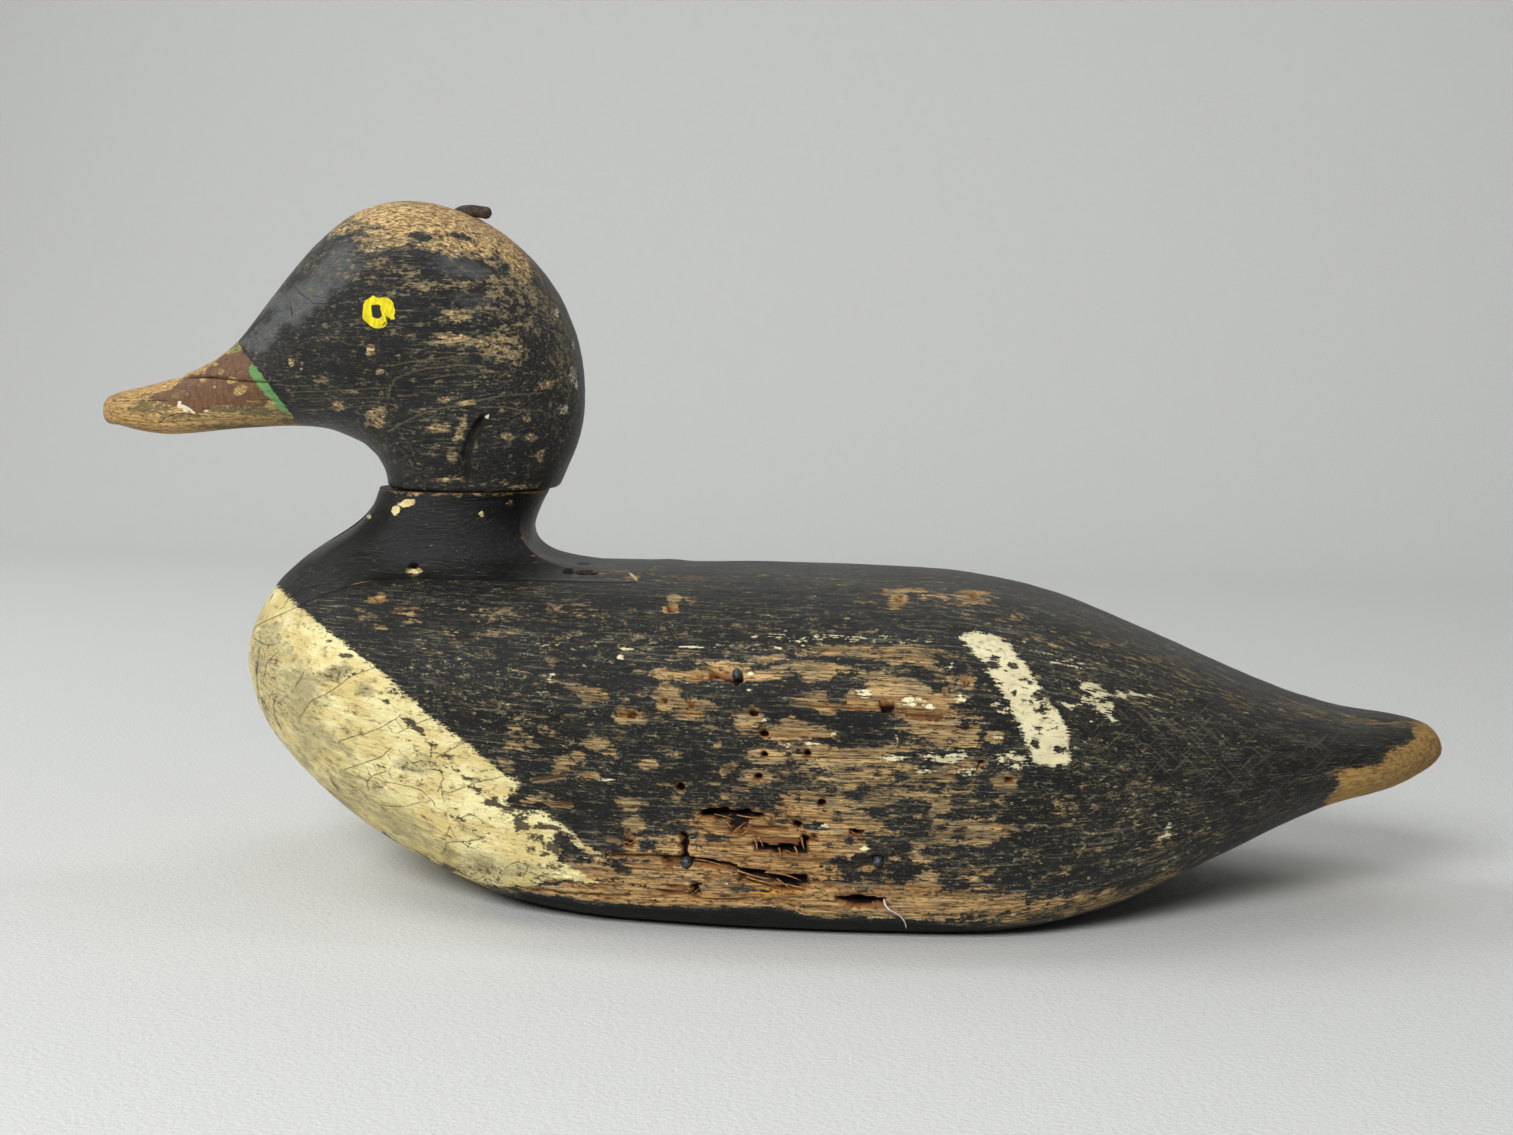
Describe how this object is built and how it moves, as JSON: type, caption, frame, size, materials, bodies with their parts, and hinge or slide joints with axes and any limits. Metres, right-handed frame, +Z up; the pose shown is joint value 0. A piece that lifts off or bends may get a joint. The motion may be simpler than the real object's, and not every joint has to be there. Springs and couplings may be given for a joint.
{
  "type": "goldeneye decoy",
  "caption": "Carved wooden duck decoy with a let-in neck block, a separate head with a sloping bill, worn paint, and a flat underside that it stands on.",
  "frame": {"origin": "middle of the decoy's length and width, on the surface that its flat underside stands on", "axes": "+Z up, -X towards the bill tip, +X towards the tail, -Y the decoy's left side, which the picture shows"},
  "size_m": [0.38, 0.152, 0.1879],
  "materials": {
    "body_wood": "old black paint worn through to grey-brown softwood, with a cream breast patch and a cream wing stripe",
    "neck_wood": "satin black paint over softwood, with chips at the joints",
    "head_wood": "worn black paint over softwood, bare tan crown, brown bill with a green edge, yellow painted eyes",
    "rusted_iron": "dark brown rust",
    "dull_lead": "dull grey lead"
  },
  "bodies": {
    "root": {"body": "body_wood", "neck": "neck_wood", "head": "head_wood", "crown_spike": "rusted_iron", "shot_pellet_upper": "dull_lead", "shot_pellet_lower_front": "dull_lead", "shot_pellet_lower_rear": "dull_lead"}
  },
  "joints": []
}
